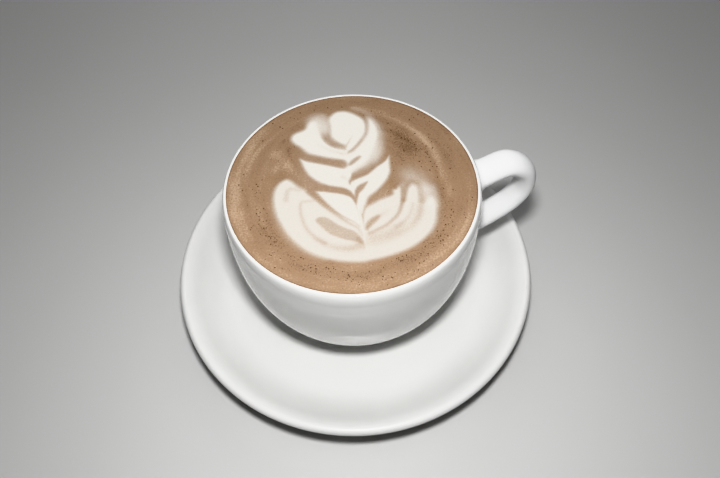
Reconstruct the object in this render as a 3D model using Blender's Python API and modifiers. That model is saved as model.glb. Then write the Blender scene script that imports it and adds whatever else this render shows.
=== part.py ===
"""A latte in its cup on a saucer: porcelain saucer, cup with a strap handle, the drink filled to
the brim, and the figure of milk foam let into its top.

The origin is on the table under the saucer's centre, +Z is up, and the handle points along +X.
"""

from math import cos, pi, radians, sin, sqrt

import bmesh
import bpy
from mathutils import Matrix, Vector

GAP = 0.0003                    # between neighbouring pieces
STEPS = 64                      # sides of a turned piece
MERGE = 0.00005
STRAP_STEPS = 4                 # pieces of the strap's curves between two points
LEAF_STEPS = 3                  # the same for a leaf's outline

SAUCER_RADIUS = 0.0775
SAUCER_HEIGHT = 0.0200
SAUCER_LIP = 0.0020             # radius of the rolled edge
WELL_RADIUS = 0.0560            # flat floor out to here
WELL_TOP = 0.0080
SIDE_RADIUS = 0.0700            # the side is steepest here, and eases into the lip beyond
SIDE_RISE = 0.0081              # from the well up to that place
SIDE_POWER = 1.8
SHOULDER = [(0.0714, 0.0175), (0.0727, 0.0185)]
SAUCER_WALL = 0.0044
SAUCER_FOOT_OUTER = 0.0450
SAUCER_FOOT_INNER = 0.0410
FOOT_EASE = 0.0007              # rounding under both feet

CUP_BASE = WELL_TOP + GAP       # the cup stands here
CUP_RIM = 0.07295               # crest of the lip
BELLY_RADIUS = 0.04935          # widest place
BELLY_Z = 0.0560
BOWL_DEPTH = 0.0627             # the bowl's curve would close this far under the belly
BOWL_POWER = 2.3
RIM_DRAW_IN = 0.00115           # how far the wall comes back in, belly to rim
WALL = 0.0030
LIP_RADIUS = WALL / 2
CUP_FOOT_OUTER = 0.0315
CUP_FOOT_INNER = 0.0280
CUP_FOOT_HEIGHT = 0.0026
CUP_FLOOR = 0.0152              # inside, at the axis
FLOOR_BLEND = 0.0280            # the inner wall starts to round into the floor
FLOOR_POWER = 2.2
CUP_WALL_LOW = 0.0036           # wall at the start of that rounding

HANDLE_WIDTH = 0.0115
HANDLE_THICKNESS = 0.0083
ROOT_DEPTH = 0.0014             # how far the strap runs into the wall
HANDLE_ROUTE = [                # centre line from the upper root: radius, height, size of the section
    (0.0440, 0.0618, 1.60),
    (0.0524, 0.0660, 1.18),
    (0.0613, 0.0693, 1.04),
    (0.0690, 0.0645, 0.97),
    (0.0712, 0.0552, 0.94),
    (0.0676, 0.0464, 0.93),
    (0.0603, 0.0396, 0.95),
    (0.0522, 0.0346, 1.04),
    (0.0440, 0.0311, 1.36),
]

DRINK_LEVEL = CUP_RIM - 0.0002
FIGURE_DEPTH = 0.0015           # recess for the milk foam
FIGURE_PROUD = 0.00015          # foam stands this much over the crema
FIGURE_TURN = radians(-9.2)     # the figure's upright against the cup's Y axis

PORCELAIN = (0.86, 0.86, 0.85, 1.0)
CREMA = (0.33, 0.225, 0.15, 1.0)
MILK = (0.86, 0.83, 0.77, 1.0)

# The milk figure in the drink's plane, millimetres: the stem's middle line from the notch of the
# heart down to the base, and each leaf's outline in order round it.
STEM = [(-2.2, 19.5), (-1.9, 14), (-1.2, 8), (-0.6, 3), (0.4, -2), (1.6, -8), (2.8, -15), (3.3, -20), (3.7, -25)]
STEM_HALF_WIDTH = 0.7
LEAVES = {
    "heart": [(-2.3, 18.5), (-4.5, 22), (-6.8, 26), (-8, 30), (-8, 34), (-6.5, 37.6), (-3, 39), (1, 38),
              (4.5, 35.5), (6.3, 32), (6.2, 28), (4.5, 24.5), (1, 21)],
    "crescent": [(-2, 14.5), (0, 17.8), (4.2, 21.2), (6.9, 26), (7.4, 30), (7, 34.3), (9, 35.2), (11.2, 32),
                 (11.8, 27), (11.6, 21), (11.4, 16), (9.5, 11.5), (6, 8.2), (2, 5.6), (0, 4), (-1.4, 8)],
    "upper_leaf": [(-1.6, 12.6), (-3, 14), (-7, 14.5), (-12, 15.5), (-17, 17.5), (-21, 21), (-23.5, 25),
                   (-21.6, 27.8), (-18.5, 29.5), (-16.5, 32), (-14.5, 35), (-12, 35.5), (-11.4, 32),
                   (-11, 28), (-9.5, 23.6), (-5.5, 20), (-2.2, 18)],
    "middle_leaf": [(0.4, 0.6), (-0.6, 5), (-1.2, 8), (-5, 9.3), (-12, 11.6), (-19.5, 13.6), (-17.6, 8),
                    (-14, 3), (-9, -0.5), (-4, -1.7)],
    "right_leaf": [(-0.4, 1.8), (1.5, 3), (5, 5.4), (10, 9.4), (14.5, 13.2), (15, 8), (13.5, 3), (10, -1.6),
                   (7, -4.8), (5.4, -8), (4.4, -11), (2.2, -10), (1.6, -6.4), (1, -2.4)],
    "lower_leaf": [(2.6, -21), (-1, -17.4), (-4.5, -13.4), (-9, -8.8), (-13.4, -3), (-8, -3.4), (-3, -5.4),
                   (0.4, -8.3), (3, -11.5), (3.6, -16)],
    "left_wing": [(3, -21.6), (0, -18.9), (-5, -14.6), (-10, -9.9), (-15, -4.8), (-20, 0), (-24, 3.8),
                  (-27, 3.2), (-28.9, -1), (-29, -6), (-28, -12), (-25.5, -19), (-21, -25.5), (-15, -30.2),
                  (-8, -33), (0, -34), (7, -33.5), (8, -29), (6, -24)],
    "right_wing": [(3.2, -19), (3.9, -14), (5.2, -10.4), (10, -7.5), (14.3, -4.8), (17.4, -1.6), (18.6, -5.5),
                   (18.2, -10), (18.9, -10), (19.6, -5.5), (22.4, -1), (24.4, -4.2), (24.8, -8), (25.6, -11),
                   (28.4, -6.4), (30.8, -9.5), (30.6, -15), (28.5, -20), (25, -25), (20, -29), (14, -32),
                   (7, -33.4), (3, -31), (2.4, -25)],
}


def collection(name):
    made = bpy.data.collections.new(name)
    bpy.context.scene.collection.children.link(made)
    return made


def material(name, colour, roughness):
    made = bpy.data.materials.new(name)
    made.use_nodes = True
    shader = made.node_tree.nodes["Principled BSDF"]
    shader.inputs["Base Color"].default_value = colour
    shader.inputs["Roughness"].default_value = roughness
    return made


def turned(name, profile, home, smooth=True):
    """A solid turned about Z from a profile of (radius, height) that runs down its outer side."""
    mesh = bpy.data.meshes.new(name)
    count = len(profile)
    mesh.from_pydata([(r, 0.0, z) for r, z in profile], [(i, i + 1) for i in range(count - 1)], [])
    solid = bpy.data.objects.new(name, mesh)
    home.objects.link(solid)
    screw = solid.modifiers.new("turn", "SCREW")
    screw.steps = screw.render_steps = STEPS
    screw.use_merge_vertices = True
    screw.merge_threshold = MERGE
    screw.use_smooth_shade = smooth
    return solid


def arc(centre, radius, start, end, count):
    """Points on an arc of a profile, with angles from the outward radius towards +Z."""
    angles = [start + (end - start) * i / (count - 1) for i in range(count)]
    return [(centre[0] + radius * cos(a), centre[1] + radius * sin(a)) for a in angles]


def spaced(low, high, count):
    return [low + (high - low) * i / (count - 1) for i in range(count)]


def offset(profile, distance):
    """The profile moved to its left-hand side as it runs, by the same distance everywhere."""
    moved = []
    for i, (r, z) in enumerate(profile):
        before, after = profile[max(i - 1, 0)], profile[min(i + 1, len(profile) - 1)]
        run = Vector((after[0] - before[0], after[1] - before[1])).normalized()
        moved.append((r - run.y * distance, z + run.x * distance))
    return moved


def side_height(r):
    """Height of the saucer's upper face between the well and the shoulder."""
    share = (r - WELL_RADIUS) / (SIDE_RADIUS - WELL_RADIUS)
    return WELL_TOP + SIDE_RISE * share ** SIDE_POWER


def foot(outer, inner, base, top):
    """A foot ring's profile, from its outer side to its inner side."""
    return [
        (outer, base + FOOT_EASE),
        (outer - FOOT_EASE, base),
        (inner + FOOT_EASE, base),
        (inner, base + FOOT_EASE),
        (inner - FOOT_EASE, top),
    ]


def saucer_profile():
    side = [(r, side_height(r)) for r in spaced(WELL_RADIUS, SIDE_RADIUS, 5)]
    roll = (SAUCER_RADIUS - SAUCER_LIP, SAUCER_HEIGHT - SAUCER_LIP)
    lip = arc(roll, SAUCER_LIP, radians(130), radians(-55), 7)
    underside = offset(side, -SAUCER_WALL)[::-1]
    hollow = WELL_TOP - SAUCER_WALL
    ring = foot(SAUCER_FOOT_OUTER, SAUCER_FOOT_INNER, 0.0, hollow)
    outer_root = (SAUCER_FOOT_OUTER + FOOT_EASE, hollow)
    return [(0.0, WELL_TOP)] + side + SHOULDER + lip + underside + [outer_root] + ring + [(0.0, hollow)]


def bowl_radius(z):
    """Outer radius of the cup at a height."""
    if z < BELLY_Z:
        return BELLY_RADIUS * sqrt(1 - ((BELLY_Z - z) / BOWL_DEPTH) ** BOWL_POWER)
    return BELLY_RADIUS - RIM_DRAW_IN * ((z - BELLY_Z) / (CUP_RIM - BELLY_Z)) ** 2


def lip_centre():
    z = CUP_RIM - LIP_RADIUS
    return bowl_radius(z) - LIP_RADIUS, z


def cup_outside():
    """From the lip's outer side down to the foot."""
    top, bottom = CUP_RIM - LIP_RADIUS, CUP_BASE + CUP_FOOT_HEIGHT
    return [(bowl_radius(z), z) for z in spaced(top, bottom, 12)]


def cup_inside():
    """From the lip's inner side down to the middle of the floor."""
    top = CUP_RIM - LIP_RADIUS
    low_wall = bowl_radius(FLOOR_BLEND) - CUP_WALL_LOW
    points = []
    for z in spaced(top, FLOOR_BLEND, 6):
        share = (top - z) / (top - FLOOR_BLEND)
        points.append((bowl_radius(z) - WALL - (CUP_WALL_LOW - WALL) * share, z))
    for angle in spaced(0, pi / 2, 6)[1:-1]:
        drop = (FLOOR_BLEND - CUP_FLOOR) * sin(angle) ** (2 / FLOOR_POWER)
        points.append((low_wall * cos(angle), FLOOR_BLEND - drop))
    return points + [(0.0, CUP_FLOOR)]


def cup_profile():
    hollow = CUP_BASE + CUP_FOOT_HEIGHT
    ring = foot(CUP_FOOT_OUTER, CUP_FOOT_INNER, CUP_BASE, hollow)
    lip = arc(lip_centre(), LIP_RADIUS, pi, 0, 8)
    return cup_inside()[::-1] + lip[1:-1] + cup_outside() + ring + [(0.0, hollow)]


def coffee_profile():
    """The cup's inner side drawn in by the gap, up to the level of the drink."""
    inner = arc(lip_centre(), LIP_RADIUS, radians(100), pi, 4) + cup_inside()[1:]
    skin = [(r, z) for r, z in offset(inner, -GAP) if z < DRINK_LEVEL - MERGE]
    skin[-1] = (0.0, CUP_FLOOR + GAP)
    centre, reach = lip_centre(), LIP_RADIUS + GAP
    edge = centre[0] - sqrt(reach ** 2 - (DRINK_LEVEL - centre[1]) ** 2)
    return [(0.0, DRINK_LEVEL), (edge, DRINK_LEVEL)] + skin


def as_mesh(curve, home):
    """Replaces a curve object by a mesh object, with its caps welded on."""
    bpy.context.view_layer.update()
    depsgraph = bpy.context.evaluated_depsgraph_get()
    mesh = bpy.data.meshes.new_from_object(curve.evaluated_get(depsgraph))
    name, place = curve.name, curve.matrix_world.copy()
    bpy.data.objects.remove(curve)
    welded = bmesh.new()
    welded.from_mesh(mesh)
    bmesh.ops.remove_doubles(welded, verts=welded.verts, dist=MERGE)
    bmesh.ops.recalc_face_normals(welded, faces=welded.faces)
    welded.to_mesh(mesh)
    welded.free()
    solid = bpy.data.objects.new(name, mesh)
    solid.matrix_world = place
    home.objects.link(solid)
    return solid


def curve_object(name, points, closed, dimensions, home):
    """A smooth Bezier curve through the points."""
    data = bpy.data.curves.new(name, "CURVE")
    data.dimensions = dimensions
    spline = data.splines.new("BEZIER")
    spline.bezier_points.add(len(points) - 1)
    for point, place in zip(spline.bezier_points, points):
        point.co = place
        point.handle_left_type = point.handle_right_type = "AUTO"
    spline.use_cyclic_u = closed
    made = bpy.data.objects.new(name, data)
    home.objects.link(made)
    return made


def handle(home):
    """The strap, swept along its route with an oval section that widens at both roots."""
    width, thickness = HANDLE_WIDTH / 2, HANDLE_THICKNESS / 2
    corners = [(width, 0, 0), (0, -thickness, 0), (-width, 0, 0), (0, thickness, 0)]
    oval = curve_object("oval", corners, True, "2D", home)
    oval.data.resolution_u = STRAP_STEPS
    strap = curve_object("strap", [(r, 0, z) for r, z, size in HANDLE_ROUTE], False, "3D", home)
    strap.data.bevel_mode = "OBJECT"
    strap.data.bevel_object = oval
    strap.data.use_fill_caps = True
    strap.data.resolution_u = STRAP_STEPS
    for point, (r, z, size) in zip(strap.data.splines[0].bezier_points, HANDLE_ROUTE):
        point.radius = size
    solid = as_mesh(strap, home)
    bpy.data.objects.remove(oval)
    return solid


def figure_leaf(name, outline, low, high, growth, home):
    """One leaf of the milk figure, between two heights, its outline grown by the clearance."""
    points = [Matrix.Rotation(FIGURE_TURN, 3, "Z") @ Vector((x, y, 0)) / 1000 for x, y in outline]
    leaf = curve_object(name, points, True, "2D", home)
    leaf.data.fill_mode = "BOTH"
    leaf.data.resolution_u = LEAF_STEPS
    leaf.data.extrude = (high - low) / 2
    leaf.data.offset = growth
    leaf.location.z = (low + high) / 2
    return as_mesh(leaf, home)


def stem_outline():
    left = [(x - STEM_HALF_WIDTH, y) for x, y in STEM]
    right = [(x + STEM_HALF_WIDTH, y) for x, y in STEM]
    return left + right[::-1]


def figure(name, low, high, growth, home, leaves_home):
    """The stem and all the leaves as one solid."""
    outlines = dict(LEAVES, stem=stem_outline())
    leaves = [figure_leaf(leaf, outline, low, high, growth, leaves_home)
              for leaf, outline in outlines.items()]
    base = leaves.pop()
    for leaf in leaves:
        boolean(base, leaf, "UNION").solver = "MANIFOLD"
    bpy.context.view_layer.update()
    depsgraph = bpy.context.evaluated_depsgraph_get()
    mesh = bpy.data.meshes.new_from_object(base.evaluated_get(depsgraph))
    mesh.transform(base.matrix_world)
    for leaf in leaves + [base]:
        bpy.data.objects.remove(leaf)
    solid = bpy.data.objects.new(name, mesh)
    home.objects.link(solid)
    return solid


def boolean(solid, other, operation):
    made = solid.modifiers.new(operation.lower(), "BOOLEAN")
    made.operation = operation
    made.object = other
    return made


def as_cutter(solid):
    solid.hide_render = True
    solid.display_type = "WIRE"
    return solid


def main():
    for old in list(bpy.data.objects):
        bpy.data.objects.remove(old)
    parts = collection("latte")
    cutters = collection("cutters")

    saucer = turned("saucer", saucer_profile(), parts)
    cup = turned("cup", cup_profile(), parts)
    coffee = turned("coffee", coffee_profile(), parts, smooth=False)

    strap = as_cutter(handle(cutters))
    core_skin = offset([(bowl_radius(CUP_RIM), CUP_RIM)] + cup_outside(), -ROOT_DEPTH)
    core = as_cutter(turned("core", [(0.0, CUP_RIM)] + core_skin + [(0.0, core_skin[-1][1])], cutters))
    boolean(strap, core, "DIFFERENCE")
    boolean(cup, strap, "UNION")

    recess_floor = DRINK_LEVEL - FIGURE_DEPTH
    above = DRINK_LEVEL + FIGURE_DEPTH
    recess = as_cutter(figure("recess", recess_floor, above, GAP, cutters, cutters))
    boolean(coffee, recess, "DIFFERENCE")
    milk = figure("milk_figure", recess_floor + GAP, DRINK_LEVEL + FIGURE_PROUD, 0.0, parts, cutters)

    saucer.data.materials.append(material("saucer glaze", PORCELAIN, 0.12))
    cup.data.materials.append(material("cup glaze", PORCELAIN, 0.10))
    coffee.data.materials.append(material("crema", CREMA, 0.45))
    milk.data.materials.append(material("milk foam", MILK, 0.50))


main()
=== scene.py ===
import math

import bmesh
import bpy
import numpy as np
from mathutils import Matrix, Vector


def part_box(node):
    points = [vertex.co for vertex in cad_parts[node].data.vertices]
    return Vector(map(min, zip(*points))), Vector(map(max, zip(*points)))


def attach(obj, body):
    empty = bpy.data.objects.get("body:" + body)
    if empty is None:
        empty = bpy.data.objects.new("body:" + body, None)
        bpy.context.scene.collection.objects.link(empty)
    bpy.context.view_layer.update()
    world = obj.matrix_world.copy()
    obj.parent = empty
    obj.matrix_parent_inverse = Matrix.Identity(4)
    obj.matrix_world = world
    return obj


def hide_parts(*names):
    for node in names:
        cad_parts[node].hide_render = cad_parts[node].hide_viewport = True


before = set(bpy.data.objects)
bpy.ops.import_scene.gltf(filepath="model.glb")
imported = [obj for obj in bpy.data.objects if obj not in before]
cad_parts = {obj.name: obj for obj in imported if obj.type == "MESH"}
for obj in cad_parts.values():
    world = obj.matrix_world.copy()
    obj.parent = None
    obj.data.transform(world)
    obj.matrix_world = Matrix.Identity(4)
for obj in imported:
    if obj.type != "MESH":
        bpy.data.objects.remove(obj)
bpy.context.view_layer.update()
print("frame loaded")

# heights and widths that the frame gives
drinkUnderRim = 0.0002       # the drink's solid ends this far under the crest of the lip
saucerLow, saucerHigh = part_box("saucer")
cupLow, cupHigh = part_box("cup")
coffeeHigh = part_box("coffee")[1]
saucerRadius = (saucerHigh.x - saucerLow.x) / 2
saucerTop = saucerHigh.z
cupFoot = cupLow.z
bellyRadius = (cupHigh.y - cupLow.y) / 2
rimHeight = coffeeHigh.z + drinkUnderRim


# curves and directions

def rise(x):
    # an eased step from 0 to 1
    x = np.clip(x, 0, 1)
    return x * x * (3 - 2 * x)


def unit(directions):
    return directions / np.linalg.norm(directions, axis=-1)[..., None]


def curvePoint(a, b, c, d, t):
    # on a smooth curve through the four points, from b to c as t goes from 0 to 1
    return 0.5 * (2 * b + (c - a) * t + (2 * a - 5 * b + 4 * c - d) * t**2 + (3 * b - a - 3 * c + d) * t**3)


def arcPoints(centre, radius, start, end, count):
    angles = [start + (end - start) * i / (count - 1) for i in range(count)]
    return [(centre[0] + radius * math.cos(a), centre[1] + radius * math.sin(a)) for a in angles]


def easedLine(a, slopeA, b, slopeB, count):
    # a curve from a to b that leaves and arrives along the given slopes, without its ends
    a, b = np.array(a), np.array(b)
    reach = np.linalg.norm(b - a)
    ta = np.array(slopeA) / np.linalg.norm(slopeA) * reach
    tb = np.array(slopeB) / np.linalg.norm(slopeB) * reach
    points = []
    for t in np.linspace(0, 1, count + 2)[1:-1]:
        points.append(tuple((2 * t**3 - 3 * t**2 + 1) * a + (t**3 - 2 * t**2 + t) * ta
                            + (3 * t**2 - 2 * t**3) * b + (t**3 - t**2) * tb))
    return points


def movedAside(points, distance):
    p = np.array(points)
    run = unit(np.gradient(p, axis=0))
    return [(r - t[1] * distance, z + t[0] * distance) for (r, z), t in zip(p, run)]


# objects and meshes

def addObject(name, data):
    made = bpy.data.objects.new(name, data)
    bpy.context.scene.collection.objects.link(made)
    return made


def finishMesh(name, mesh, material):
    mesh.materials.append(material)
    return addObject(name, mesh)


def facesOut(mesh):
    work = bmesh.new()
    work.from_mesh(mesh)
    bmesh.ops.recalc_face_normals(work, faces=work.faces)
    if work.calc_volume(signed=True) < 0:
        bmesh.ops.reverse_faces(work, faces=work.faces)
    work.to_mesh(mesh)
    work.free()


# nodes

def node(tree, kind, settings=None, **sockets):
    # adds a node; each socket, named or numbered as s0, s1, gets a value or a link
    made = tree.nodes.new(kind)
    for key, value in (settings or {}).items():
        setattr(made, key, value)
    for key, value in sockets.items():
        numbered = key[0] == "s" and key[1:].isdigit()
        socket = made.inputs[int(key[1:])] if numbered else made.inputs[key.replace("_", " ")]
        if isinstance(value, bpy.types.NodeSocket):
            tree.links.new(value, socket)
        else:
            socket.default_value = value
    return made


def mathNode(tree, operation, *values):
    sockets = {"s%d" % i: value for i, value in enumerate(values)}
    return node(tree, "ShaderNodeMath", {"operation": operation}, **sockets).outputs[0]


def noiseNode(tree, place, scale, detail):
    return node(tree, "ShaderNodeTexNoise", Vector=place, Scale=scale, Detail=detail).outputs["Fac"]


def rangeNode(tree, value, low, high, fromLow=0.0, fromHigh=1.0):
    return node(tree, "ShaderNodeMapRange", Value=value, From_Min=fromLow, From_Max=fromHigh, To_Min=low,
                To_Max=high).outputs["Result"]


def bumpNode(tree, height, depth, strength):
    return node(tree, "ShaderNodeBump", Height=height, Distance=depth, Strength=strength).outputs["Normal"]


def rampNode(tree, factor, stops):
    made = node(tree, "ShaderNodeValToRGB", s0=factor)
    made.color_ramp.interpolation = "EASE"
    points = made.color_ramp.elements
    while len(points) < len(stops):
        points.new(0.5)
    for point, (place, colour) in zip(points, stops):
        point.position = place
        point.color = (*colour, 1.0)
    return made.outputs["Color"]


def newMaterial(name, **constant):
    # a material, with its tree, its shader and the object's own coordinates for its patterns
    made = bpy.data.materials.new(name)
    made.use_nodes = True
    tree = made.node_tree
    shader = tree.nodes["Principled BSDF"]
    for key, value in constant.items():
        shader.inputs[key.replace("_", " ")].default_value = value
    return made, tree, shader, node(tree, "ShaderNodeTexCoord").outputs["Object"]


def feed(shader, **sockets):
    for key, value in sockets.items():
        shader.id_data.links.new(value, shader.inputs[key.replace("_", " ")])


def newTree(name, **inputs):
    # a geometry tree with the named inputs, and the sockets that give them
    tree = bpy.data.node_groups.new(name, "GeometryNodeTree")
    tree.interface.new_socket("Geometry", in_out="INPUT", socket_type="NodeSocketGeometry")
    for key, kind in inputs.items():
        tree.interface.new_socket(key, in_out="INPUT", socket_type="NodeSocket" + kind)
    tree.interface.new_socket("Geometry", in_out="OUTPUT", socket_type="NodeSocketGeometry")
    return tree, node(tree, "NodeGroupInput").outputs


def endTree(tree, geometry, material):
    smooth = node(tree, "GeometryNodeSetShadeSmooth", s0=geometry).outputs[0]
    real = node(tree, "GeometryNodeRealizeInstances", s0=smooth).outputs[0]
    dressed = node(tree, "GeometryNodeSetMaterial", Geometry=real, Material=material).outputs[0]
    node(tree, "NodeGroupOutput", s0=dressed)
    return tree


def builtPiece(name, mesh, tree, inputs):
    # what the tree makes of the mesh, as a plain mesh of its own
    holder = addObject(name + " holder", mesh)
    building = holder.modifiers.new("building", "NODES")
    building.node_group = tree
    for item in tree.interface.items_tree:
        if item.in_out == "INPUT" and item.name in inputs:
            building[item.identifier] = inputs[item.name]
    bpy.context.view_layer.update()
    depsgraph = bpy.context.evaluated_depsgraph_get()
    result = bpy.data.meshes.new_from_object(holder.evaluated_get(depsgraph))
    bpy.data.objects.remove(holder)
    return addObject(name, result)


# the glaze of cup and saucer

glaze = {
    "white": (0.76, 0.76, 0.75),
    "shade": (0.73, 0.73, 0.72),         # where the glaze lies thicker
    "toneScale": 26.0,
    "waveScale": 70.0,                   # the slight unevenness of a dipped glaze
    "waveHeight": 0.00003,
    "waveStrength": 0.6,
    "roughLow": 0.07,
    "roughHigh": 0.13,
    "coatRough": 0.04,
    "ior": 1.5,
}


def glazeMaterial(make):
    worn = make["worn"]
    made, tree, shader, place = newMaterial(make["glaze"], Coat_Weight=make["coat"], IOR=glaze["ior"],
                                            Coat_Roughness=glaze["coatRough"] + worn)
    tone = noiseNode(tree, place, glaze["toneScale"], 3.0)
    wave = noiseNode(tree, place, glaze["waveScale"], 1.0)
    feed(shader, Base_Color=rampNode(tree, tone, [(0.3, glaze["shade"]), (0.7, glaze["white"])]),
         Roughness=rangeNode(tree, tone, glaze["roughHigh"] + worn, glaze["roughLow"] + worn),
         Normal=bumpNode(tree, wave, glaze["waveHeight"], glaze["waveStrength"]))
    return made


# turned ware: a profile of (radius, height), turned about Z by a node tree

def turnedTree():
    # the columns of a grid go round, and its rows run along the profile
    closePoints = 0.000004       # points as near as this become one, at the axis and where the turn closes
    tree, given = newTree("turned ware", Profile="Object", Around="Int", Glaze="Material")
    profile = node(tree, "GeometryNodeObjectInfo", Object=given["Profile"]).outputs["Geometry"]
    points = node(tree, "GeometryNodeCurveToPoints", {"mode": "EVALUATED"}, Curve=profile).outputs["Points"]
    counted = node(tree, "GeometryNodeAttributeDomainSize", {"component": "POINTCLOUD"}, s0=points)
    along = counted.outputs["Point Count"]
    columns = mathNode(tree, "ADD", given["Around"], 1.0)
    grid = node(tree, "GeometryNodeMeshGrid", Vertices_X=columns, Vertices_Y=along).outputs["Mesh"]
    index = node(tree, "GeometryNodeInputIndex").outputs[0]
    column = mathNode(tree, "FLOOR", mathNode(tree, "DIVIDE", mathNode(tree, "ADD", index, 0.5), along))
    row = mathNode(tree, "SUBTRACT", index, mathNode(tree, "MULTIPLY", column, along))
    angle = mathNode(tree, "MULTIPLY", mathNode(tree, "DIVIDE", column, given["Around"]), 2 * math.pi)
    where = node(tree, "GeometryNodeInputPosition").outputs[0]
    sample = node(tree, "GeometryNodeSampleIndex", {"data_type": "FLOAT_VECTOR", "domain": "POINT"},
                  Geometry=points, Value=where, Index=row).outputs["Value"]
    spun = node(tree, "ShaderNodeVectorRotate", {"rotation_type": "Z_AXIS"}, Vector=sample, Angle=angle)
    placed = node(tree, "GeometryNodeSetPosition", Geometry=grid, Position=spun.outputs[0]).outputs[0]
    merged = node(tree, "GeometryNodeMergeByDistance", Geometry=placed, Distance=closePoints).outputs[0]
    return endTree(tree, merged, given["Glaze"])


def turnedWare(name, tree, profile, make):
    line = bpy.data.curves.new(name + " profile", "CURVE")
    line.dimensions = "3D"
    spline = line.splines.new("POLY")
    spline.points.add(len(profile) - 1)
    for point, (r, z) in zip(spline.points, profile):
        point.co = (r, 0.0, z, 1.0)
    guide = addObject(name + " profile", line)
    inputs = {"Profile": guide, "Around": make["around"], "Glaze": glazeMaterial(make)}
    piece = builtPiece(name, bpy.data.meshes.new(name), tree, inputs)
    bpy.data.objects.remove(guide)
    facesOut(piece.data)
    return piece


def underFoot(make, base, top):
    # in from the underside, round the foot ring with its eased edges, and on to the middle
    outer, inner, ease = make["footOuter"], make["footInner"], make["footEase"]
    return (arcPoints((outer + ease, top - ease), ease, math.pi / 2, math.pi, 5)
            + arcPoints((outer - ease, base + ease), ease, 0, -math.pi / 2, 5)
            + arcPoints((inner + ease, base + ease), ease, -math.pi / 2, -math.pi, 5)
            + arcPoints((inner - ease, top - ease), ease, 0, math.pi / 2, 5)
            + [(0.0, top)])


# the saucer

saucerMake = {
    "around": 224,
    "wellRadius": 0.0560,        # flat floor out to here
    "wellTop": 0.0080,
    "sideRadius": 0.0700,
    "sideRise": 0.0081,
    "sidePower": 1.8,
    "lip": 0.0020,
    "lipFrom": 118,              # the round of the lip runs between these angles, in degrees
    "lipTo": -62,
    "shoulder": 28,              # slope of the side where it meets the lip, in degrees
    "underSlope": -0.55,         # slope of the underside where it leaves the lip
    "wall": 0.0044,
    "footOuter": 0.0450,
    "footInner": 0.0410,
    "footEase": 0.0007,
    "glaze": "saucer glaze",
    "worn": 0.24,                # how much duller than new the glaze is
    "coat": 0.05,
}


def saucerProfile(make):
    share = np.linspace(0, 1, 26)
    side = [(make["wellRadius"] + s * (make["sideRadius"] - make["wellRadius"]),
             make["wellTop"] + make["sideRise"] * s ** make["sidePower"]) for s in share]
    roll = (saucerRadius - make["lip"], saucerTop - make["lip"])
    lip = arcPoints(roll, make["lip"], math.radians(make["lipFrom"]), math.radians(make["lipTo"]), 22)
    steep = make["sideRise"] * make["sidePower"] / (make["sideRadius"] - make["wellRadius"])
    shoulder = easedLine(side[-1], (1, steep), lip[0], (1, math.tan(math.radians(make["shoulder"]))), 12)
    under = movedAside(side, -make["wall"])[::-1]
    outerSkin = easedLine(lip[-1], (-1, make["underSlope"]), under[0], (-1, -steep), 10)
    well = [(r, make["wellTop"]) for r in np.linspace(0, make["wellRadius"], 16)[:-1]]
    foot = underFoot(make, 0.0, make["wellTop"] - make["wall"])
    return well + side + shoulder + lip + outerSkin + under + foot


turned = turnedTree()
saucer = turnedWare("saucerWare", turned, saucerProfile(saucerMake), saucerMake)
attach(saucer, "root")
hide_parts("saucer")
print("saucer made:", len(saucer.data.polygons), "faces")


# the cup and its handle

cupMake = {
    "around": 256,
    "bellyHeight": 0.0560,
    "bowlDepth": 0.0627,
    "bowlPower": 2.3,
    "drawIn": 0.00115,           # how far the wall comes back in, belly to rim
    "wall": 0.0030,
    "wallLow": 0.0036,
    "lipInner": 0.0010,          # radius of the lip's inner side
    "lipEase": 0.0062,           # the outer side eases over this height
    "wallFrom": 0.0090,          # the wall has its full thickness this far below the lip
    "underSlope": -0.9,          # slope of the bowl where it turns under
    "footOuter": 0.0315,
    "footInner": 0.0280,
    "footHeight": 0.0026,
    "footEase": 0.0007,
    "floor": 0.0152,
    "floorBlend": 0.0280,
    "floorPower": 2.2,
    "glaze": "cup glaze",
    "worn": 0.0,
    "coat": 0.35,
}

handleMake = {
    "width": 0.0115,
    "thickness": 0.0083,
    "around": 56,
    "along": 90,
    "rootReach": 1.9,            # each root meets the wall within this many steps of the route
    "halvings": 26,              # of that stretch, to find where
    "filletRings": 13,
    "filletUpper": (0.0024, 0.0036, 0.0056),   # on top, at the sides, on the underside
    "filletLower": (0.0042, 0.0034, 0.0030),
    "tuckReach": 0.0004,         # the last ring stands out this far round the root
    "tuckDepth": 0.00005,        # and this deep in the wall
    "route": [                   # centre line from the upper root: radius, height, size of the section
        (0.0440, 0.0618, 1.10),
        (0.0524, 0.0660, 1.08),
        (0.0613, 0.0693, 1.04),
        (0.0690, 0.0645, 0.97),
        (0.0712, 0.0552, 0.94),
        (0.0676, 0.0464, 0.93),
        (0.0603, 0.0396, 0.95),
        (0.0522, 0.0346, 1.00),
        (0.0440, 0.0311, 1.06),
    ],
}


def bowlRadius(z):
    # outer radius of the bowl at a height, before the lip is eased
    low = np.clip((cupMake["bellyHeight"] - z) / cupMake["bowlDepth"], 0, 1)
    high = np.clip((z - cupMake["bellyHeight"]) / (rimHeight - cupMake["bellyHeight"]), 0, 1)
    return np.where(z < cupMake["bellyHeight"], bellyRadius * np.sqrt(1 - low ** cupMake["bowlPower"]),
                    bellyRadius - cupMake["drawIn"] * high ** 2)


lipLevel = rimHeight - cupMake["lipInner"]
lipCentre = (float(bowlRadius(lipLevel)) - cupMake["lipInner"], lipLevel)
easeFrom = rimHeight - cupMake["lipEase"]


def outerRadius(z):
    # the bowl with its lip eased in towards the crest
    share = np.clip((z - easeFrom) / cupMake["lipEase"], 0, 1)
    eased = lipCentre[0] + (bowlRadius(easeFrom) - lipCentre[0]) * np.sqrt(np.maximum(1 - share ** 2, 0))
    return np.where(z > easeFrom, eased, bowlRadius(z))


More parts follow.
